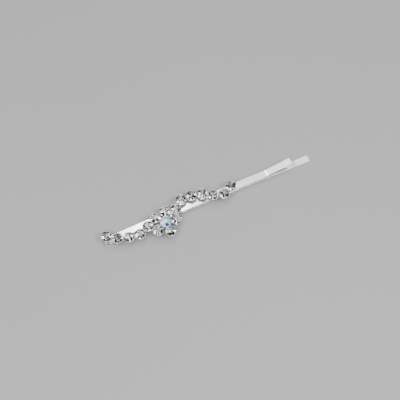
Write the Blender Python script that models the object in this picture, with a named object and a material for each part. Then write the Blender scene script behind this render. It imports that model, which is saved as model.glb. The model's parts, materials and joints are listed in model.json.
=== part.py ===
"""Rhinestone hair clip: a sprung flat pin carrying a flower and two trailing chains of cup-set stones.

The pin is one spring strip folded back at its -X end. It is divided into plain runs, none of which
bends around the gap between the blades, and it parts in the middle of the fold, where the spring hinge
has its axis. The ornament sits on the upper blade, so everything above the fold hangs from one pivot.
"""
import math

import bmesh
import bpy

for thing in list(bpy.data.objects):
    bpy.data.objects.remove(thing, do_unlink=True)

MM = 0.001

# The pin.
FOLD_X = -32.5 * MM  # the outside of the fold
LOWER_TIP_X = 33.0 * MM
STRIP_WIDTH = 2.0 * MM
STRIP_THICKNESS = 0.4 * MM
STRIP_EDGE_CHAMFER = 0.06 * MM
TIP_BEVEL = 0.12 * MM
FOLD_HEIGHT = 1.6 * MM
FOLD_SPLIT_GAP = 0.02 * MM
FOLD_STEPS = 10
JOIN_GAP = 0.02 * MM  # between the runs that the strip is divided into
BLADE_Y = 1.7 * MM  # puts the middle of the whole clip, ornament included, on the X axis

# The lower blade: flat resting pads at both ends and a slight spring arch between them.
ARCH_HALF_SPAN = 29.0 * MM
ARCH_RISE = 0.8 * MM
ARCH_STEPS = 28

# The upper blade: straight under the ornament, bowed a little down to the crease, then kicked up to its tip.
UPPER_TILT = math.radians(0.68)
BOW_X = 9.0 * MM
BOW_ANGLE = math.radians(2.1)
BOW_STEPS = 6
CREASE_X = 18.05 * MM
UPPER_TIP_X = 26.8 * MM
KICK_ANGLE = math.radians(12.4)
CREASE_RADIUS = 6.0 * MM
CREASE_STEPS = 6

# The cups and their stones. Heights are from the top face of the upper blade.
CUP_RADIUS = 1.61 * MM
CUP_BASE_RADIUS = 1.2 * MM
CUP_SHOULDER = 1.0 * MM
CUP_HEIGHT = 1.385 * MM
CUP_FLOOR = 0.15 * MM
CUP_SEGMENTS = 28
GIRDLE_RADIUS = 1.52 * MM
GIRDLE_LOW = 1.2 * MM
GIRDLE_HIGH = 1.28 * MM
TABLE_RADIUS = 0.78 * MM
TABLE_HEIGHT = 1.86 * MM
BEZEL_RADIUS = 1.12 * MM
BEZEL_HEIGHT = 1.6 * MM
PAVILION_RADIUS = 0.75 * MM
PAVILION_HEIGHT = 0.61 * MM
CULET_HEIGHT = 0.18 * MM

# The layout of the ornament, in the plane of the upper blade, from the pin's middle.
FLOWER_CENTRE = (-14.38 * MM, -2.38 * MM)
PETAL_RING = 3.25 * MM
PETAL_ANGLES = (-10.5, 69.5, 133.0, 208.0, 273.0)
CHAIN_PITCH = 3.24 * MM
RIGHT_HEADINGS = (40.2, -0.9, -15.9, -31.1, -18.4, 28.5)
LEFT_HEADINGS = (202.0, 172.5, 160.5, 145.0)

# Clearance between pieces that rest on each other.
REST_GAP = 0.03 * MM

# The soldered joins between neighbouring cups.
LINK_WIDTH = 1.0 * MM
LINK_HEIGHT = 0.62 * MM
LINK_ARCH_STEPS = 6

STEEL = (0.78, 0.79, 0.8, 1.0)
SETTING = (0.72, 0.73, 0.75, 1.0)
SOLDER = (0.6, 0.61, 0.63, 1.0)
CRYSTAL = (0.93, 0.95, 0.98, 1.0)
AURORA = (0.8, 0.82, 0.98, 1.0)

FOLD_RADIUS = FOLD_HEIGHT / 2
CENTRE_RADIUS = FOLD_RADIUS - STRIP_THICKNESS / 2
SPLIT_ANGLE = math.asin(FOLD_SPLIT_GAP / 2 / CENTRE_RADIUS)
SHARP_ANGLE = math.radians(30.0)


def principled(name, colour, metallic, roughness, transmission):
    material = bpy.data.materials.new(name + "_material")
    material.use_nodes = True
    shader = material.node_tree.nodes["Principled BSDF"]
    shader.inputs["Base Color"].default_value = colour
    shader.inputs["Metallic"].default_value = metallic
    shader.inputs["Roughness"].default_value = roughness
    shader.inputs["Transmission Weight"].default_value = transmission
    return material


def add_object(name, mesh, look):
    mesh.materials.append(principled(name, *look))
    made = bpy.data.objects.new(name, mesh)
    bpy.context.scene.collection.objects.link(made)
    return made


def lofted(name, rings):
    """One closed body through rings of points, all with the same number of points."""
    shell = bmesh.new()
    loops = []
    ends = []
    for ring in rings:
        corners = [shell.verts.new(point) for point in ring]
        following = corners[1:] + corners[:1]
        loops.append([shell.edges.new(pair) for pair in zip(corners, following)])
        ends.append(corners)
    for near, far in zip(loops, loops[1:]):
        bmesh.ops.bridge_loops(shell, edges=near + far)
    shell.faces.new(ends[0])
    shell.faces.new(ends[-1])
    bmesh.ops.recalc_face_normals(shell, faces=shell.faces)
    mesh = bpy.data.meshes.new(name)
    shell.to_mesh(mesh)
    shell.free()
    mesh.shade_smooth()
    mesh.set_sharp_from_angle(angle=SHARP_ANGLE)
    return mesh


def strip_section(inset):
    """The strip's cross-section as (across, through) points, drawn in by inset all round."""
    wide = STRIP_WIDTH / 2 - inset
    thick = STRIP_THICKNESS / 2 - inset
    cut = STRIP_EDGE_CHAMFER
    return (
        (wide - cut, -thick),
        (wide, cut - thick),
        (wide, thick - cut),
        (wide - cut, thick),
        (cut - wide, thick),
        (-wide, thick - cut),
        (-wide, cut - thick),
        (cut - wide, -thick),
    )


def strip_mesh(name, stations):
    """A strip swept along stations of (x, z, direction of the path in radians, inset)."""
    rings = []
    for x, z, direction, inset in stations:
        rings.append([
            (x - through * math.sin(direction), across, z + through * math.cos(direction))
            for across, through in strip_section(inset)
        ])
    return lofted(name, rings)


def tip_stations(x, z, direction, length):
    """The last stretch of a blade, straight to its bevelled end."""
    reach = length - TIP_BEVEL
    return [
        (x + reach * math.cos(direction), z + reach * math.sin(direction), direction, 0.0),
        (x + length * math.cos(direction), z + length * math.sin(direction), direction, TIP_BEVEL),
    ]


def fold_stations():
    """A quarter of the fold, from its middle to the end of a blade, bending upwards from the pivot."""
    stations = []
    for step in range(FOLD_STEPS + 1):
        turn = SPLIT_ANGLE + (math.pi / 2 - SPLIT_ANGLE) * step / FOLD_STEPS
        x = FOLD_RADIUS - CENTRE_RADIUS * math.cos(turn)
        z = CENTRE_RADIUS * math.sin(turn)
        stations.append((x, z, math.pi / 2 - turn, 0.0))
    return stations


def lower_blade_stations():
    """The lower blade in the frame of the part, from the fold to its tip."""
    base = STRIP_THICKNESS / 2
    stations = [(FOLD_X + FOLD_RADIUS + JOIN_GAP, base, 0.0, 0.0)]
    stations.append((-ARCH_HALF_SPAN, base, 0.0, 0.0))
    for step in range(1, ARCH_STEPS):
        along = 2 * step / ARCH_STEPS - 1
        rise = ARCH_RISE * (1 - along**2)
        slope = math.atan(-2 * ARCH_RISE * along / ARCH_HALF_SPAN)
        stations.append((along * ARCH_HALF_SPAN, base + rise, slope, 0.0))
    stations.append((ARCH_HALF_SPAN, base, 0.0, 0.0))
    stations += tip_stations(ARCH_HALF_SPAN, base, 0.0, LOWER_TIP_X - ARCH_HALF_SPAN)
    return stations


def bow_stations():
    """The bowed stretch of the upper blade in the frame of its pivot."""
    radius = (CREASE_X - JOIN_GAP - BOW_X) / math.sin(BOW_ANGLE)
    stations = []
    for step in range(BOW_STEPS + 1):
        turn = BOW_ANGLE * step / BOW_STEPS
        x = BOW_X - FOLD_X + radius * math.sin(turn)
        z = CENTRE_RADIUS - radius * (1 - math.cos(turn))
        stations.append((x, z, -turn, 0.0))
    return stations


def upper_blade_stations():
    """The upper blade in the frame of its pivot, from the fold to the crease."""
    return [(FOLD_RADIUS + JOIN_GAP, CENTRE_RADIUS, 0.0, 0.0)] + bow_stations()


def upper_tip_stations():
    """The crease and the kicked-up tip of the upper blade in the frame of its pivot."""
    bow_end = bow_stations()[-1]
    start_x = bow_end[0] + JOIN_GAP
    start_z = bow_end[1] - JOIN_GAP * math.tan(BOW_ANGLE)
    stations = []
    for step in range(CREASE_STEPS + 1):
        turn = KICK_ANGLE * step / CREASE_STEPS - BOW_ANGLE
        x = start_x + CREASE_RADIUS * (math.sin(turn) + math.sin(BOW_ANGLE))
        z = start_z + CREASE_RADIUS * (math.cos(BOW_ANGLE) - math.cos(turn))
        stations.append((x, z, turn, 0.0))
    x, z, direction = stations[-1][:3]
    length = (UPPER_TIP_X - FOLD_X - x) / math.cos(direction)
    stations += tip_stations(x, z, direction, length)
    return stations


def ring_points(count, radius, height, offset):
    points = []
    for i in range(count):
        angle = 2 * math.pi * (i + offset) / count
        points.append((radius * math.cos(angle), radius * math.sin(angle), height))
    return points


def cup_mesh(name):
    """A tapered cup with a rim turned in over the stone's girdle."""
    profile = (
        (CUP_BASE_RADIUS, 0.0),
        (CUP_RADIUS, CUP_SHOULDER),
        (CUP_RADIUS, CUP_HEIGHT - 0.055 * MM),
        (CUP_RADIUS - 0.05 * MM, CUP_HEIGHT),
        (GIRDLE_RADIUS - 0.03 * MM, GIRDLE_HIGH + 0.04 * MM),
        (GIRDLE_RADIUS + 0.015 * MM, GIRDLE_HIGH + 0.02 * MM),
        (GIRDLE_RADIUS + 0.015 * MM, GIRDLE_LOW - 0.02 * MM),
        (GIRDLE_RADIUS - 0.045 * MM, GIRDLE_LOW - 0.04 * MM),
        (CUP_BASE_RADIUS - 0.15 * MM, CUP_FLOOR),
    )
    return lofted(name, [ring_points(CUP_SEGMENTS, radius, height, 0.0) for radius, height in profile])


def stone_mesh(name):
    """A round chaton: eight-sided table, stars, bezels, girdle and a pointed pavilion."""
    points = ring_points(8, TABLE_RADIUS, TABLE_HEIGHT, 0.5)
    points += ring_points(8, BEZEL_RADIUS, BEZEL_HEIGHT, 0.0)
    points += ring_points(16, GIRDLE_RADIUS, GIRDLE_HIGH, 0.0)
    points += ring_points(16, GIRDLE_RADIUS, GIRDLE_LOW, 0.0)
    points += ring_points(8, PAVILION_RADIUS, PAVILION_HEIGHT, 0.5)
    points.append((0.0, 0.0, CULET_HEIGHT))
    shell = bmesh.new()
    for point in points:
        shell.verts.new(point)
    bmesh.ops.convex_hull(shell, input=shell.verts)
    bmesh.ops.dissolve_limit(
        shell, angle_limit=math.radians(0.5), verts=shell.verts, edges=shell.edges
    )
    bmesh.ops.recalc_face_normals(shell, faces=shell.faces)
    mesh = bpy.data.meshes.new(name)
    shell.to_mesh(mesh)
    shell.free()
    return mesh


def cup_radius_at(height):
    return CUP_BASE_RADIUS + (CUP_RADIUS - CUP_BASE_RADIUS) * height / CUP_SHOULDER


def link_mesh(name, distance):
    """A low solder arch that fills the space between two cups whose centres are distance apart."""
    left = []
    right = []
    for step in range(LINK_ARCH_STEPS + 1):
        angle = math.pi * step / LINK_ARCH_STEPS
        across = LINK_WIDTH / 2 * math.cos(angle)
        height = LINK_HEIGHT * math.sin(angle)
        reach = distance / 2 - cup_radius_at(height) - REST_GAP
        left.append((-reach, across, height))
        right.append((reach, across, height))
    return lofted(name, [left, right])


def walked(start, headings):
    """Stone centres of a chain: one pitch along each heading in turn."""
    places = [start]
    for heading in headings:
        x, y = places[-1]
        turn = math.radians(heading)
        places.append((x + CHAIN_PITCH * math.cos(turn), y + CHAIN_PITCH * math.sin(turn)))
    return places


def on_ring(distance, degrees):
    """A point at that distance and direction from the flower's centre."""
    x, y = FLOWER_CENTRE
    angle = math.radians(degrees)
    return (x + distance * math.cos(angle), y + distance * math.sin(angle))


def nested(first, second):
    """The place outside the flower that is one pitch from both petals at those directions."""
    half_gap = math.radians(second - first) / 2
    inward = PETAL_RING * math.cos(half_gap)
    reach = inward + math.sqrt(inward**2 - PETAL_RING**2 + CHAIN_PITCH**2)
    return on_ring(reach, (first + second) / 2)


# The strip, and the pivot that carries everything above the fold's middle.
BLADE_LOOK = (STEEL, 1.0, 0.14, 0.0)


def add_strip(name, stations):
    return add_object(name, strip_mesh(name, stations), BLADE_LOOK)


lower = add_strip("lower_blade", lower_blade_stations())
lower.location = (0.0, BLADE_Y, 0.0)

lower_fold = add_strip("lower_fold", fold_stations())
lower_fold.location = (FOLD_X, BLADE_Y, FOLD_RADIUS)
lower_fold.rotation_euler = (math.pi, 0.0, 0.0)

pivot = bpy.data.objects.new("fold_pivot", None)
bpy.context.scene.collection.objects.link(pivot)
pivot.location = (FOLD_X, BLADE_Y, FOLD_RADIUS)
pivot.rotation_euler = (0.0, -UPPER_TILT, 0.0)

upper_runs = (
    ("upper_fold", fold_stations()),
    ("upper_blade", upper_blade_stations()),
    ("upper_tip", upper_tip_stations()),
)
for name, stations in upper_runs:
    add_strip(name, stations).parent = pivot


def on_blade(made, place, turn):
    made.parent = pivot
    made.location = (place[0] - FOLD_X, place[1], FOLD_RADIUS + REST_GAP)
    made.rotation_euler = (0.0, 0.0, turn)


def add_setting(label, suffix, place, colour):
    """One cup with its stone."""
    cup_name = label + "_cup" + suffix
    on_blade(add_object(cup_name, cup_mesh(cup_name), (SETTING, 1.0, 0.2, 0.0)), place, 0.0)
    stone_name = label + "_stone" + suffix
    on_blade(add_object(stone_name, stone_mesh(stone_name), (colour, 0.0, 0.0, 1.0)), place, 0.0)


def add_link(name, start, end):
    across = (end[0] - start[0], end[1] - start[1])
    link = add_object(name, link_mesh(name, math.hypot(*across)), (SOLDER, 1.0, 0.3, 0.0))
    middle = ((start[0] + end[0]) / 2, (start[1] + end[1]) / 2)
    on_blade(link, middle, math.atan2(across[1], across[0]))


# The flower: a coated centre stone in a ring of clear petals.
petals = [on_ring(PETAL_RING, degrees) for degrees in PETAL_ANGLES]
add_setting("flower_centre", "", FLOWER_CENTRE, AURORA)
for number, petal in enumerate(petals, 1):
    add_setting("petal", "_%d" % number, petal, CRYSTAL)
    add_link("petal_link_%d" % number, FLOWER_CENTRE, petal)

# The chains: each starts nested between two petals and walks along the blade.
for side, first, headings in (("right", 0, RIGHT_HEADINGS), ("left", 2, LEFT_HEADINGS)):
    places = walked(nested(*PETAL_ANGLES[first:first + 2]), headings)
    for number, place in enumerate(places, 1):
        add_setting(side, "_%d" % number, place, CRYSTAL)
    for number, (start, end) in enumerate(zip(places, places[1:]), 1):
        add_link("%s_link_%d" % (side, number), start, end)
    for number, host in enumerate(petals[first:first + 2], 1):
        add_link("%s_flower_link_%d" % (side, number), host, places[0])
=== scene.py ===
"""Looks of the rhinestone hair clip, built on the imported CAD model.

Lengths are in metres, except in the outlines of the cup and the stone, which are in millimetres.
"""
import json
import math
import random

import bmesh
import bpy
from mathutils import Matrix, Vector


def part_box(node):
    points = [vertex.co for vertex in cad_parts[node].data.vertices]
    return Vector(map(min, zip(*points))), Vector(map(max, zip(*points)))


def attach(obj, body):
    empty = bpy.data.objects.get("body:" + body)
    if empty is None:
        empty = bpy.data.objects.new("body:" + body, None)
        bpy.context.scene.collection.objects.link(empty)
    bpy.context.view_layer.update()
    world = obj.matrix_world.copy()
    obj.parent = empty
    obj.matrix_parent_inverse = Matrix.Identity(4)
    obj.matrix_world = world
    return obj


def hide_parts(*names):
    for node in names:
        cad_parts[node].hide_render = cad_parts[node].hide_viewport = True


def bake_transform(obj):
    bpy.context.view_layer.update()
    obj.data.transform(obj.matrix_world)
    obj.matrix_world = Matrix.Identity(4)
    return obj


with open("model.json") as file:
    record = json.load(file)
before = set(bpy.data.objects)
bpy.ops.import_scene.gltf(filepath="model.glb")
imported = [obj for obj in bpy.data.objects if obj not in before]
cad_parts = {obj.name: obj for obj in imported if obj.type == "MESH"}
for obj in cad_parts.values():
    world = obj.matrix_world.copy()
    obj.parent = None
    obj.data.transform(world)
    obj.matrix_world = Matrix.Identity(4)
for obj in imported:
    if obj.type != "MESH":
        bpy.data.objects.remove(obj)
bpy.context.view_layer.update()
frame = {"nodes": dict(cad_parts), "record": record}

MM = 0.001
LOWER = "lower_blade"
UPPER = "upper_blade_and_ornament"

# Dimensions of the CAD model that its boxes can't give.
STRIP_WIDTH = 2.0 * MM
STRIP_THICKNESS = 0.4 * MM
FOLD_RADIUS = 0.8 * MM
ARCH_HALF_SPAN = 29.0 * MM
ARCH_RISE = 0.8 * MM
BOW_X = 9.0 * MM
BOW_ANGLE = math.radians(2.1)
CREASE_X = 18.05 * MM
KICK_ANGLE = math.radians(12.4)
CREASE_RADIUS = 6.0 * MM
CUP_BASE_RADIUS = 1.2 * MM
CUP_WIDEST_HEIGHT = 1.165 * MM  # the middle of the cup's widest part
REST_GAP = 0.03 * MM

# The finer shape of the strip.
CORNER_RADIUS = 0.08 * MM
CORNER_STEPS = 4
CORNER_SUPPORT = 0.05 * MM  # from a corner to the row that keeps the flats flat
END_BEVEL = 0.14 * MM
END_STEPS = 5
END_SUPPORT = 0.06 * MM
SHORT_RUN = 1.2 * MM  # the straight stretch on each side of the fold
RUN_STEPS = 24
BEND_STEPS = 16
ARCH_STEPS = 96
FOLD_STEPS = 48

# Outlines in millimetres, as (radius, height) from the middle of a cup's base.
CUP_OUTSIDE = [
    (0.55, 0.01), (1.08, -0.03), (1.22, -0.03), (1.235, 0.0), (1.20, 0.06), (1.22, 0.14),
    (1.29, 0.30), (1.42, 0.60), (1.53, 0.88), (1.588, 1.06), (1.607, 1.17), (1.61, 1.27),
]
CUP_INSIDE = [
    (1.537, 1.29), (1.535, 1.20), (1.46, 1.06), (1.27, 0.66), (1.07, 0.24), (0.9, 0.12), (0.55, 0.07),
]
RIM_CENTRE = (1.5735, 1.325)
RIM_RADIUS = 0.0365
RIM_STEPS = 5
CUP_SEGMENTS = 72
CENTRE_TABLE = 0.66  # radius of the centre stone's table
CLEAR_TABLE = 0.84
TABLE_HEIGHT = 1.84
STAR_WIDTH = 0.36
STAR_HEIGHT = 1.60
GIRDLE_RADIUS = 1.522
GIRDLE_HIGH = 1.30
GIRDLE_LOW = 1.225
PAVILION_RADIUS = 0.70
PAVILION_HEIGHT = 0.58
CULET_HEIGHT = 0.05

# The solder joins.
JOIN_WIDTH = 0.40 * MM  # half width in the middle
JOIN_WIDTH_FLARE = 0.16 * MM
JOIN_HEIGHT = 0.40 * MM
JOIN_HEIGHT_FLARE = 0.22 * MM
JOIN_ROWS = 12
JOIN_ARCH_STEPS = 14
CUP_FLARE = 0.33  # how fast a cup widens with height
WETTING = 0.03 * MM  # how far a join runs into the cup's skin


# ---------------------------------------------------------------- node helpers

def new_material(name):
    material = bpy.data.materials.new(name)
    material.use_nodes = True
    nodes = material.node_tree.nodes
    return material, nodes, material.node_tree.links, nodes["Principled BSDF"]


def ramp(nodes, links, source, stops, interpolation="LINEAR"):
    node = nodes.new("ShaderNodeValToRGB")
    node.color_ramp.interpolation = interpolation
    elements = node.color_ramp.elements
    while len(elements) > 1:
        elements.remove(elements[-1])
    elements[0].position = stops[0][0]
    elements[0].color = stops[0][1]
    for position, colour in stops[1:]:
        elements.new(position).color = colour
    links.new(source, node.inputs[0])
    return node.outputs["Color"]


def grey(value):
    return (value, value, value, 1.0)


def remap(nodes, links, source, low, high, from_low=0.0, from_high=1.0):
    node = nodes.new("ShaderNodeMapRange")
    node.inputs["From Min"].default_value = from_low
    node.inputs["From Max"].default_value = from_high
    node.inputs["To Min"].default_value = low
    node.inputs["To Max"].default_value = high
    links.new(source, node.inputs["Value"])
    return node.outputs["Result"]


def add(nodes, links, first, second):
    node = nodes.new("ShaderNodeMath")
    node.operation = "ADD"
    links.new(first, node.inputs[0])
    links.new(second, node.inputs[1])
    return node.outputs[0]


def object_noise(nodes, links, scale, detail=2.0):
    """Noise fixed to the piece, and the piece's own coordinates."""
    place_node = nodes.new("ShaderNodeTexCoord")
    noise = nodes.new("ShaderNodeTexNoise")
    noise.inputs["Scale"].default_value = scale
    noise.inputs["Detail"].default_value = detail
    links.new(place_node.outputs["Object"], noise.inputs["Vector"])
    return noise.outputs["Fac"], place_node.outputs["Object"]


def facet_tone(nodes):
    facet = nodes.new("ShaderNodeAttribute")
    facet.attribute_name = "facet_tone"
    return facet.outputs["Fac"]


def add_bump(nodes, links, shader, height, strength, distance):
    bump = nodes.new("ShaderNodeBump")
    bump.inputs["Strength"].default_value = strength
    bump.inputs["Distance"].default_value = distance
    links.new(height, bump.inputs["Height"])
    links.new(bump.outputs["Normal"], shader.inputs["Normal"])


# ---------------------------------------------------------------- materials

def plated_strip():
    """Bright plated spring steel, finely drawn along its length, with faint handling marks."""
    material, nodes, links, shader = new_material("plated_strip")
    along = nodes.new("ShaderNodeAttribute")
    along.attribute_name = "strip_place"

    def stretched(scale_along, scale_across, detail):
        mapping = nodes.new("ShaderNodeMapping")
        mapping.inputs["Scale"].default_value = (scale_along, scale_across, 1.0)
        links.new(along.outputs["Vector"], mapping.inputs["Vector"])
        noise = nodes.new("ShaderNodeTexNoise")
        noise.inputs["Scale"].default_value = 1.0
        noise.inputs["Detail"].default_value = detail
        links.new(mapping.outputs["Vector"], noise.inputs["Vector"])
        return noise.outputs["Fac"]

    drawn = stretched(120.0, 14000.0, 3.0)
    patches = stretched(350.0, 900.0, 4.0)
    scuffs = stretched(900.0, 9000.0, 2.0)
    tone = ramp(nodes, links, patches, [
        (0.25, (0.85, 0.855, 0.87, 1)),
        (0.75, (0.94, 0.945, 0.955, 1)),
    ])
    links.new(tone, shader.inputs["Base Color"])
    rough = remap(nodes, links, drawn, 0.07, 0.16, 0.25, 0.75)
    haze = remap(nodes, links, patches, 0.0, 0.07, 0.5, 0.85)
    nick = remap(nodes, links, scuffs, 0.0, 0.18, 0.7, 0.8)
    total = add(nodes, links, add(nodes, links, rough, haze), nick)
    links.new(total, shader.inputs["Roughness"])
    add_bump(nodes, links, shader, drawn, 0.25, 0.004 * MM)
    shader.inputs["Metallic"].default_value = 1.0
    return material


def plated_cup():
    """Thin plated metal with a faintly uneven skin, coloured with painted shade that darkens it towards the
    foot and a painted highlight that brightens it towards the rim.
    """
    material, nodes, links, shader = new_material("plated_cup")
    noise, own_place = object_noise(nodes, links, 2600.0, 4.0)
    split = nodes.new("ShaderNodeSeparateXYZ")
    links.new(own_place, split.inputs[0])
    height = remap(nodes, links, split.outputs["Z"], 0.0, 1.0, 0.0, 1.3 * MM)
    uneven_height = add(nodes, links, height, remap(nodes, links, noise, -0.3, 0.3))
    # Painted shade and painted highlight: the colour runs by height from dark at the foot to bright at the
    # rim.
    tone = ramp(nodes, links, uneven_height, [
        (0.0, (0.30, 0.30, 0.31, 1)),
        (0.60, (0.46, 0.465, 0.47, 1)),
        (0.90, (0.94, 0.945, 0.95, 1)),
    ])
    links.new(tone, shader.inputs["Base Color"])
    links.new(remap(nodes, links, noise, 0.24, 0.42, 0.3, 0.8), shader.inputs["Roughness"])
    add_bump(nodes, links, shader, noise, 0.3, 0.01 * MM)
    shader.inputs["Metallic"].default_value = 1.0
    return material


def plated_solder():
    """Plated solder: duller and lumpier than the cups."""
    material, nodes, links, shader = new_material("plated_solder")
    noise = object_noise(nodes, links, 3200.0, 5.0)[0]
    tone = ramp(nodes, links, noise, [
        (0.3, (0.42, 0.42, 0.43, 1)),
        (0.7, (0.74, 0.745, 0.75, 1)),
    ])
    links.new(tone, shader.inputs["Base Color"])
    links.new(remap(nodes, links, noise, 0.2, 0.42, 0.3, 0.75), shader.inputs["Roughness"])
    add_bump(nodes, links, shader, noise, 0.6, 0.03 * MM)
    shader.inputs["Metallic"].default_value = 1.0
    return material


# The coated stone's crown colours, partly the pearly coating's own tint and partly painted sheen, with
# painted dark reflection in the near-black navy: a fixed tint on each crown facet, by the facet's direction
# round the stone as a share of a turn. The last is the table's.
TABLE_TONE = 0.99
CROWN_TONES = 0.97  # the direction's share of the scale, which leaves its end to the table
COAT_TINTS_AND_PAINTED_SHEEN = [
    (0.000, (0.12, 0.62, 0.48, 1)),
    (0.090, (0.62, 0.90, 0.80, 1)),
    (0.150, (0.95, 0.36, 0.34, 1)),
    (0.205, (0.98, 0.86, 0.92, 1)),
    (0.380, (0.96, 0.52, 0.56, 1)),
    (0.440, (0.50, 0.86, 0.68, 1)),
    (0.540, (0.62, 0.62, 1.00, 1)),
    (0.650, (0.015, 0.018, 0.17, 1)),
    (0.790, (0.40, 0.50, 1.00, 1)),
    (0.830, (0.22, 0.86, 1.00, 1)),
    (0.930, (0.10, 0.60, 0.52, 1)),
    (0.980, (0.98, 0.87, 0.93, 1)),
]


def crystal_glass(name, coat):
    """Cut glass with very faint handling haze. With a coat, each crown facet has its own fixed tint, partly
    the pearly coating's own and partly painted sheen.
    """
    material, nodes, links, shader = new_material(name)
    noise = object_noise(nodes, links, 1500.0, 3.0)[0]
    links.new(remap(nodes, links, noise, 0.0, 0.03, 0.55, 0.8), shader.inputs["Roughness"])
    if coat:
        # Painted sheen: the coated crown's tints, with the near-black navy as painted dark reflection, are
        # fixed on each facet by its direction round the stone.
        tint = ramp(nodes, links, facet_tone(nodes), COAT_TINTS_AND_PAINTED_SHEEN, "CONSTANT")
    else:
        tint = ramp(nodes, links, noise, [
            (0.35, (0.99, 0.99, 1.0, 1)),
            (0.65, (1.0, 1.0, 0.99, 1)),
        ])
    links.new(tint, shader.inputs["Base Color"])
    shader.inputs["Transmission Weight"].default_value = 0.45 if coat else 1.0
    shader.inputs["IOR"].default_value = 1.52
    return material


def foil(name, stops):
    """The mirror foil behind a stone, with painted sparkle. Each facet has its own tone of painted
    reflection, read from the facet's own number.
    """
    material, nodes, links, shader = new_material(name)
    tone = ramp(nodes, links, facet_tone(nodes), stops, "CONSTANT")
    noise = object_noise(nodes, links, 2200.0)[0]
    mix = nodes.new("ShaderNodeMix")
    mix.data_type = "RGBA"
    mix.blend_type = "MULTIPLY"
    mix.inputs["Factor"].default_value = 1.0
    links.new(tone, mix.inputs["A"])
    links.new(ramp(nodes, links, noise, [(0.3, grey(0.86)), (0.6, grey(1.0))]), mix.inputs["B"])
    links.new(mix.outputs["Result"], shader.inputs["Base Color"])
    links.new(remap(nodes, links, noise, 0.02, 0.08, 0.4, 0.8), shader.inputs["Roughness"])
    shader.inputs["Metallic"].default_value = 1.0
    return material


STRIP_METAL = plated_strip()
CUP_METAL = plated_cup()
SOLDER_METAL = plated_solder()
CLEAR_GLASS = crystal_glass("crystal_clear", coat=False)
COATED_GLASS = crystal_glass("crystal_coated", coat=True)
# Painted sparkle on the clear stones' foil: white facets are painted highlights, near-black and grey facets
# painted dark reflections, and pink and green facets painted fire.
CLEAR_FOIL = foil("foil_clear", [
    (0.0, (0.98, 0.98, 0.99, 1)),
    (0.21, (0.04, 0.04, 0.045, 1)),
    (0.38, (0.99, 0.98, 0.96, 1)),
    (0.52, (0.17, 0.17, 0.18, 1)),
    (0.65, (1.00, 0.90, 0.91, 1)),
    (0.70, (0.98, 0.98, 0.99, 1)),
    (0.76, (0.01, 0.01, 0.012, 1)),
    (0.92, (0.90, 1.00, 0.96, 1)),
])
# Painted reflection on the coated stone's foil: facets in pale teal, pink, lavender and white stand in for
# the coating's colours mirrored in the foil.
COATED_FOIL = foil("foil_coated", [
    (0.0, (0.98, 0.97, 0.99, 1)),
    (0.45, (0.80, 0.96, 0.95, 1)),
    (0.62, (0.98, 0.86, 0.92, 1)),
    (0.80, (0.55, 0.58, 0.80, 1)),
    (0.90, (0.95, 0.98, 0.99, 1)),
])


# ---------------------------------------------------------------- mesh helpers

def finish_mesh(name, shell, materials, smooth=True):
    bmesh.ops.recalc_face_normals(shell, faces=shell.faces)
    mesh = bpy.data.meshes.new(name)
    shell.to_mesh(mesh)
    shell.free()
    for material in materials:
        mesh.materials.append(material)
    if smooth:
        mesh.shade_smooth()
    made = bpy.data.objects.new(name, mesh)
    bpy.context.scene.collection.objects.link(made)
    return made


def bridge(shell, near, far):
    """Quads between two closed rings with the same number of vertices."""
    count = len(near)
    for i in range(count):
        j = (i + 1) % count
        shell.faces.new((near[i], near[j], far[j], far[i]))


def loft(shell, rings):
    """A closed skin through the rings, with both ends capped."""
    for near, far in zip(rings, rings[1:]):
        bridge(shell, near, far)
    shell.faces.new(rings[0])
    shell.faces.new(rings[-1])


def round_section(inset):
    """Points round the strip's section as (across, through), with rounded corners and support rows."""
    wide = STRIP_WIDTH / 2 - inset
    thick = STRIP_THICKNESS / 2 - inset
    corner = min(CORNER_RADIUS, thick * 0.7)
    points = []
    for quarter, (sx, sz) in enumerate(((1, -1), (1, 1), (-1, 1), (-1, -1))):
        for step in range(CORNER_STEPS + 1):
            angle = math.radians(90.0 * (quarter - 1 + step / CORNER_STEPS))
            points.append((
                sx * (wide - corner) + corner * math.cos(angle),
                sz * (thick - corner) + corner * math.sin(angle),
            ))
        if quarter in (1, 3):
            for reach in (CORNER_SUPPORT, wide, 2 * wide - CORNER_SUPPORT):
                points.append((sx * (wide - corner) * (1 - reach / wide), sz * thick))
    return points


def strip_object(name, stations):
    """Sweeps the section along stations of (x, y, z, direction, inset). Keeps the place along and around."""
    upper_face_shift = 3.0 * MM  # gives the two faces of the strip different marks
    shell = bmesh.new()
    layer = shell.verts.layers.float_vector.new("strip_place")
    rings = []
    travelled = 0.0
    for number, (x, y, z, direction, inset) in enumerate(stations):
        if number:
            travelled += math.dist((x, z), stations[number - 1][0:3:2])
        ring = []
        for across, through in round_section(inset):
            vertex = shell.verts.new((
                x - through * math.sin(direction),
                y + across,
                z + through * math.cos(direction),
            ))
            shift = upper_face_shift if through > 0 else 0.0
            vertex[layer] = (travelled, across + shift, 0.0)
            ring.append(vertex)
        rings.append(ring)
    loft(shell, rings)
    made = finish_mesh(name, shell, [STRIP_METAL])
    made.data.set_sharp_from_angle(angle=math.radians(50.0))
    return made


def rounded_end(x, y, z, direction, length):
    """Stations of a straight run that ends in a rounded edge."""

    def station(reach, inset):
        return (x + reach * math.cos(direction), y, z + reach * math.sin(direction), direction, inset)

    stations = [station(length - END_BEVEL - END_SUPPORT, 0.0)]
    for step in range(END_STEPS + 1):
        turn = math.pi / 2 * step / END_STEPS
        reach = length - END_BEVEL + END_BEVEL * math.sin(turn)
        stations.append(station(reach, 0.75 * END_BEVEL * (1 - math.cos(turn))))
    return stations


# ---------------------------------------------------------------- the frame's own measures

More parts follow.
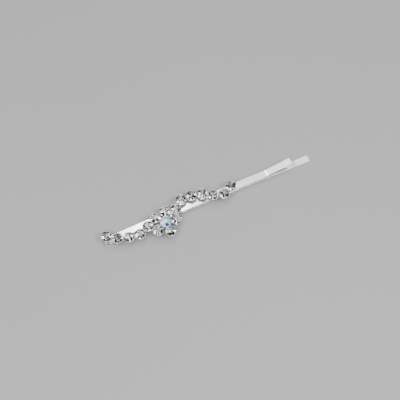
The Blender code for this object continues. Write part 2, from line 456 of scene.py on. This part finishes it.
pivot = Vector(frame["record"]["behaviour"]["joints"][0]["pos_m"])
blade_y = pivot.y
lower_tip_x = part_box("lower_blade")[1][0]
upper_tip_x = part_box("upper_tip")[1][0]
first_low, first_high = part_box("left_cup_1")
last_low, last_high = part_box("right_cup_7")
TILT = math.atan2(last_low[2] - first_low[2], last_low[0] - first_low[0])
UP_FRAME = Matrix.Translation(pivot) @ Matrix.Rotation(-TILT, 4, "Y")


def seat(node):
    """The frame of a cup: its origin at the middle of the cup's base, +Z out of the blade."""
    low, high = (Vector(corner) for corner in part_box(node))
    base = Vector((
        (low.x + high.x) / 2 + CUP_WIDEST_HEIGHT * math.sin(TILT),
        (low.y + high.y) / 2,
        low.z + CUP_BASE_RADIUS * math.sin(TILT),
    ))
    return Matrix.Translation(base) @ Matrix.Rotation(-TILT, 4, "Y")


def place(made, matrix, body):
    made.matrix_world = matrix
    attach(made, body)


# ---------------------------------------------------------------- the strip

BASE = STRIP_THICKNESS / 2  # height of the lower blade's centre line on the floor
CENTRE = FOLD_RADIUS - BASE  # from the pivot to the centre line of either blade


def in_upper(x, z, direction, inset=0.0):
    """A station given in the upper blade's own frame."""
    spot = UP_FRAME @ Vector((x, 0.0, z))
    return (spot.x, blade_y, spot.z, direction + TILT, inset)


def lower_stations():
    """The lower run, from its resting pad by the fold, over its arch, to its tip."""
    pad_ease = 1.2 * MM  # the stretch over which the arch's slope turns flat at each end
    stations = [(pivot.x + FOLD_RADIUS + SHORT_RUN, blade_y, BASE, 0.0, 0.0)]
    for step in range(ARCH_STEPS + 1):
        x = ARCH_HALF_SPAN * (2 * step / ARCH_STEPS - 1)
        along = abs(x) / ARCH_HALF_SPAN
        slope = -2 * ARCH_RISE * x / ARCH_HALF_SPAN ** 2
        ease = min(1.0, (ARCH_HALF_SPAN - abs(x)) / pad_ease)
        height = BASE + ARCH_RISE * (1 - along * along)
        stations.append((x, blade_y, height, math.atan(slope) * ease, 0.0))
    stations += rounded_end(ARCH_HALF_SPAN, blade_y, BASE, 0.0, lower_tip_x - ARCH_HALF_SPAN)
    return stations


def upper_stations():
    """The upper run: straight under the ornament, bowed down to the crease, then kicked up to its tip."""
    start = FOLD_RADIUS + SHORT_RUN
    bow_x = BOW_X - pivot.x
    stations = []
    for step in range(RUN_STEPS + 1):
        stations.append(in_upper(start + (bow_x - start) * step / RUN_STEPS, CENTRE, 0.0))
    bow_radius = (CREASE_X - BOW_X) / math.sin(BOW_ANGLE)
    for step in range(1, BEND_STEPS + 1):
        turn = BOW_ANGLE * step / BEND_STEPS
        crease_x = bow_x + bow_radius * math.sin(turn)
        crease_z = CENTRE - bow_radius * (1 - math.cos(turn))
        stations.append(in_upper(crease_x, crease_z, -turn))
    for step in range(1, BEND_STEPS + 1):
        turn = KICK_ANGLE * step / BEND_STEPS - BOW_ANGLE
        kick_x = crease_x + CREASE_RADIUS * (math.sin(turn) + math.sin(BOW_ANGLE))
        kick_z = crease_z + CREASE_RADIUS * (math.cos(BOW_ANGLE) - math.cos(turn))
        stations.append(in_upper(kick_x, kick_z, turn))
    length = (upper_tip_x - pivot.x - kick_x) / math.cos(turn)
    for x, _, z, direction, inset in rounded_end(kick_x, blade_y, kick_z, turn, length):
        stations.append(in_upper(x, z, direction, inset))
    return stations


def fold_stations():
    """The fold: a half turn with a short straight on each side."""
    stations = []
    for share in (1.0, 0.5):
        stations.append((pivot.x + FOLD_RADIUS + SHORT_RUN * share, blade_y, BASE, math.pi, 0.0))
    for step in range(FOLD_STEPS + 1):
        turn = math.pi * step / FOLD_STEPS
        lift = FOLD_RADIUS * math.sin(TILT * step / FOLD_STEPS)
        x = pivot.x + FOLD_RADIUS - CENTRE * math.sin(turn)
        z = pivot.z - CENTRE * math.cos(turn) + lift
        stations.append((x, blade_y, z, math.pi - turn, 0.0))
    for share in (0.5, 1.0):
        x, y, z, _, _ = in_upper(FOLD_RADIUS + SHORT_RUN * share, CENTRE, 0.0)
        stations.append((x, y, z, 0.0, 0.0))
    return stations


lower_run = strip_object("pin_lower_run", lower_stations())
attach(lower_run, LOWER)
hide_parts("lower_blade")

upper_run = strip_object("pin_upper_run", upper_stations())
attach(upper_run, UPPER)
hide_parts("upper_blade", "upper_tip")

fold = strip_object("pin_fold", fold_stations())
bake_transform(fold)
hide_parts("lower_fold", "upper_fold")


# ---------------------------------------------------------------- cups and stones

def ring_points(count, radius, height, offset=0.0):
    """Points on a ring, in metres from a radius and a height in millimetres."""
    points = []
    for i in range(count):
        angle = 2 * math.pi * (i + offset) / count
        points.append((radius * MM * math.cos(angle), radius * MM * math.sin(angle), height * MM))
    return points


def cup_object(name):
    """A drawn cup with an open seat, a flared foot and a rounded rim."""
    rim = []
    for step in range(RIM_STEPS + 1):
        turn = math.pi * step / RIM_STEPS
        rim.append((RIM_CENTRE[0] + RIM_RADIUS * math.cos(turn), RIM_CENTRE[1] + RIM_RADIUS * math.sin(turn)))
    shell = bmesh.new()
    rings = []
    for radius, height in CUP_OUTSIDE + rim + CUP_INSIDE:
        rings.append([shell.verts.new(point) for point in ring_points(CUP_SEGMENTS, radius, height)])
    for near, far in zip(rings, rings[1:] + rings[:1]):
        bridge(shell, near, far)
    return finish_mesh(name, shell, [CUP_METAL])


def stone_object(name, rng, glass, backing, table):
    """A brilliant-cut stone: glass crown and girdle over a foiled pavilion of eight mains."""
    points = ring_points(8, table, TABLE_HEIGHT, 0.5)
    points += ring_points(8, table + STAR_WIDTH, STAR_HEIGHT)
    points += ring_points(16, GIRDLE_RADIUS, GIRDLE_HIGH)
    points += ring_points(16, GIRDLE_RADIUS, GIRDLE_LOW)
    points += ring_points(8, PAVILION_RADIUS, PAVILION_HEIGHT, 0.5)
    points.append((0.0, 0.0, CULET_HEIGHT * MM))
    shell = bmesh.new()
    for point in points:
        shell.verts.new(point)
    bmesh.ops.convex_hull(shell, input=shell.verts)
    bmesh.ops.dissolve_limit(shell, angle_limit=math.radians(0.5), verts=shell.verts, edges=shell.edges)
    bmesh.ops.recalc_face_normals(shell, faces=shell.faces)
    tone = shell.faces.layers.float.new("facet_tone")
    foiled = [face for face in shell.faces if face.normal.z < -0.2]
    # Each foiled facet gets a random step on its foil's scale of painted reflection.
    foil_tones = [(i + rng.random()) / len(foiled) for i in range(len(foiled))]
    rng.shuffle(foil_tones)
    for face in shell.faces:
        if face in foiled:
            face.material_index = 1
            face[tone] = foil_tones.pop()
        elif face.normal.z > 0.95:
            face[tone] = TABLE_TONE
        else:
            middle = face.calc_center_median()
            turn = (math.atan2(middle.y, middle.x) / (2 * math.pi)) % 1.0
            face[tone] = CROWN_TONES * turn
    return finish_mesh(name, shell, [glass, backing], smooth=False)


def add_setting(cup_node, rng):
    """A cup and its stone. Clear stones are turned at random, and every stone sits a touch out of true."""
    matrix = seat(cup_node)
    cup = cup_object("visual_" + cup_node)
    place(cup, matrix, UPPER)
    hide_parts(cup_node)
    stone_node = cup_node.replace("cup", "stone")
    if cup_node == "flower_centre_cup":
        spin = 0.0
        stone = stone_object("visual_" + stone_node, rng, COATED_GLASS, COATED_FOIL, CENTRE_TABLE)
    else:
        spin = math.radians(rng.uniform(0, 360))
        stone = stone_object("visual_" + stone_node, rng, CLEAR_GLASS, CLEAR_FOIL, CLEAR_TABLE)
    lean = Matrix.Rotation(math.radians(rng.uniform(-1.0, 1.0)), 4, "X")
    place(stone, matrix @ Matrix.Rotation(spin, 4, "Z") @ lean, UPPER)
    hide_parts(stone_node)


# ---------------------------------------------------------------- solder joins

def joined_cups():
    """The two cups that each solder join holds together."""
    pairs = {}
    for number in range(1, 6):
        pairs["petal_link_%d" % number] = ("flower_centre_cup", "petal_cup_%d" % number)
    for side, count, hosts in (("right", 7, (1, 2)), ("left", 5, (3, 4))):
        for number in range(1, count):
            pairs["%s_link_%d" % (side, number)] = (
                "%s_cup_%d" % (side, number), "%s_cup_%d" % (side, number + 1))
        for number, host in enumerate(hosts, 1):
            pairs["%s_flower_link_%d" % (side, number)] = ("petal_cup_%d" % host, side + "_cup_1")
    return pairs


def add_join(node, cups, rng):
    """A saddle of solder between two cups, wider and taller where it wets them."""
    start, end = (seat(cup) for cup in cups)
    across = end.translation - start.translation
    middle = (start.translation + end.translation) / 2
    shell = bmesh.new()
    rings = []
    for row in range(JOIN_ROWS + 1):
        share = 2 * row / JOIN_ROWS - 1
        flare = share ** 2
        width = (JOIN_WIDTH + JOIN_WIDTH_FLARE * flare) * rng.uniform(0.97, 1.03)
        height = JOIN_HEIGHT + JOIN_HEIGHT_FLARE * flare
        ring = []
        for step in range(JOIN_ARCH_STEPS + 1):
            angle = math.pi * step / JOIN_ARCH_STEPS
            z = height * math.sin(angle)
            reach = across.length / 2 - (CUP_BASE_RADIUS + CUP_FLARE * z) + WETTING
            ring.append(shell.verts.new((reach * share, width * math.cos(angle), z - REST_GAP)))
        rings.append(ring)
    loft(shell, rings)
    join = finish_mesh("visual_" + node, shell, [SOLDER_METAL])
    join.data.set_sharp_from_angle(angle=math.radians(60.0))
    turn = Matrix.Rotation(math.atan2(across.y, across.x), 4, "Z")
    place(join, Matrix.Translation(middle) @ Matrix.Rotation(-TILT, 4, "Y") @ turn, UPPER)
    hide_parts(node)


rng = random.Random(41)
for cup_node in sorted(name for name in frame["nodes"] if "_cup" in name):
    add_setting(cup_node, rng)
for join_node, cups in sorted(joined_cups().items()):
    add_join(join_node, cups, rng)


# ---------------------------------------------------------------- floor, light and camera

FLOOR_DROP = 0.02 * MM  # keeps the floor from touching the faces that rest on it


def floor_material():
    material, nodes, links, shader = new_material("pale_floor")
    noise = object_noise(nodes, links, 3.0)[0]
    tone = ramp(nodes, links, noise, [(0.3, grey(0.29)), (0.7, grey(0.32))])
    links.new(tone, shader.inputs["Base Color"])
    shader.inputs["Roughness"].default_value = 0.75
    return material


shell = bmesh.new()
bmesh.ops.create_grid(shell, x_segments=1, y_segments=1, size=1.2)
floor = finish_mesh("studio_floor", shell, [floor_material()], smooth=False)
floor.location = (0.0, 0.0, -FLOOR_DROP)

# A sky that is pale near the floor and dark overhead, so that the lamps stand out in the stones.
world = bpy.data.worlds.new("studio_world")
bpy.context.scene.world = world
world.use_nodes = True
sky_nodes = world.node_tree.nodes
sky_links = world.node_tree.links
sky_place = sky_nodes.new("ShaderNodeTexCoord")
sky_split = sky_nodes.new("ShaderNodeSeparateXYZ")
sky_links.new(sky_place.outputs["Generated"], sky_split.inputs[0])
sky_tone = ramp(sky_nodes, sky_links, sky_split.outputs["Z"], [
    (0.0, (0.72, 0.74, 0.78, 1)),
    (0.40, (0.50, 0.52, 0.56, 1)),
    (0.62, (0.10, 0.104, 0.114, 1)),
])
sky_links.new(sky_tone, sky_nodes["Background"].inputs["Color"])


def area_light(name, direction, distance, size, power):
    """A panel of that width and height, facing the middle of the clip from a direction and distance."""
    lamp = bpy.data.lights.new(name, "AREA")
    lamp.shape = "RECTANGLE"
    lamp.size, lamp.size_y = size
    lamp.energy = power
    made = bpy.data.objects.new(name, lamp)
    bpy.context.scene.collection.objects.link(made)
    direction = Vector(direction).normalized()
    made.location = direction * distance
    made.rotation_euler = direction.to_track_quat("Z", "Y").to_euler()


area_light("overhead_softbox", (0.065, 0.40, 0.91), 0.70, (0.52, 0.30), 0.90)
area_light("crease_strip", (0.078, 0.385, 0.92), 0.55, (0.055, 0.22), 0.24)
area_light("front_left_softbox", (-0.35, -0.35, 0.87), 0.70, (0.28, 0.28), 4.10)
area_light("front_right_softbox", (0.30, -0.45, 0.84), 0.70, (0.24, 0.24), 3.30)
area_light("top_spot", (-0.02, -0.02, 1.0), 0.70, (0.15, 0.15), 1.20)
area_light("left_softbox", (-0.60, 0.25, 0.76), 0.70, (0.22, 0.22), 0.60)
area_light("right_softbox", (0.60, 0.20, 0.77), 0.70, (0.20, 0.20), 0.50)

AZIMUTH = math.radians(-24.9)
ELEVATION = math.radians(64.5)
DISTANCE = 0.27475
TARGET = Vector((-0.0020, 0.00277, 0.0))
back = Vector((
    math.sin(AZIMUTH) * math.cos(ELEVATION),
    -math.cos(AZIMUTH) * math.cos(ELEVATION),
    math.sin(ELEVATION),
))
camera_data = bpy.data.cameras.new("camera")
camera_data.lens = 85.0
camera_data.sensor_width = 36.0
camera_data.clip_start = 0.005
camera = bpy.data.objects.new("camera", camera_data)
bpy.context.scene.collection.objects.link(camera)
camera.location = TARGET + back * DISTANCE
camera.rotation_euler = back.to_track_quat("Z", "Y").to_euler()
bpy.context.scene.camera = camera
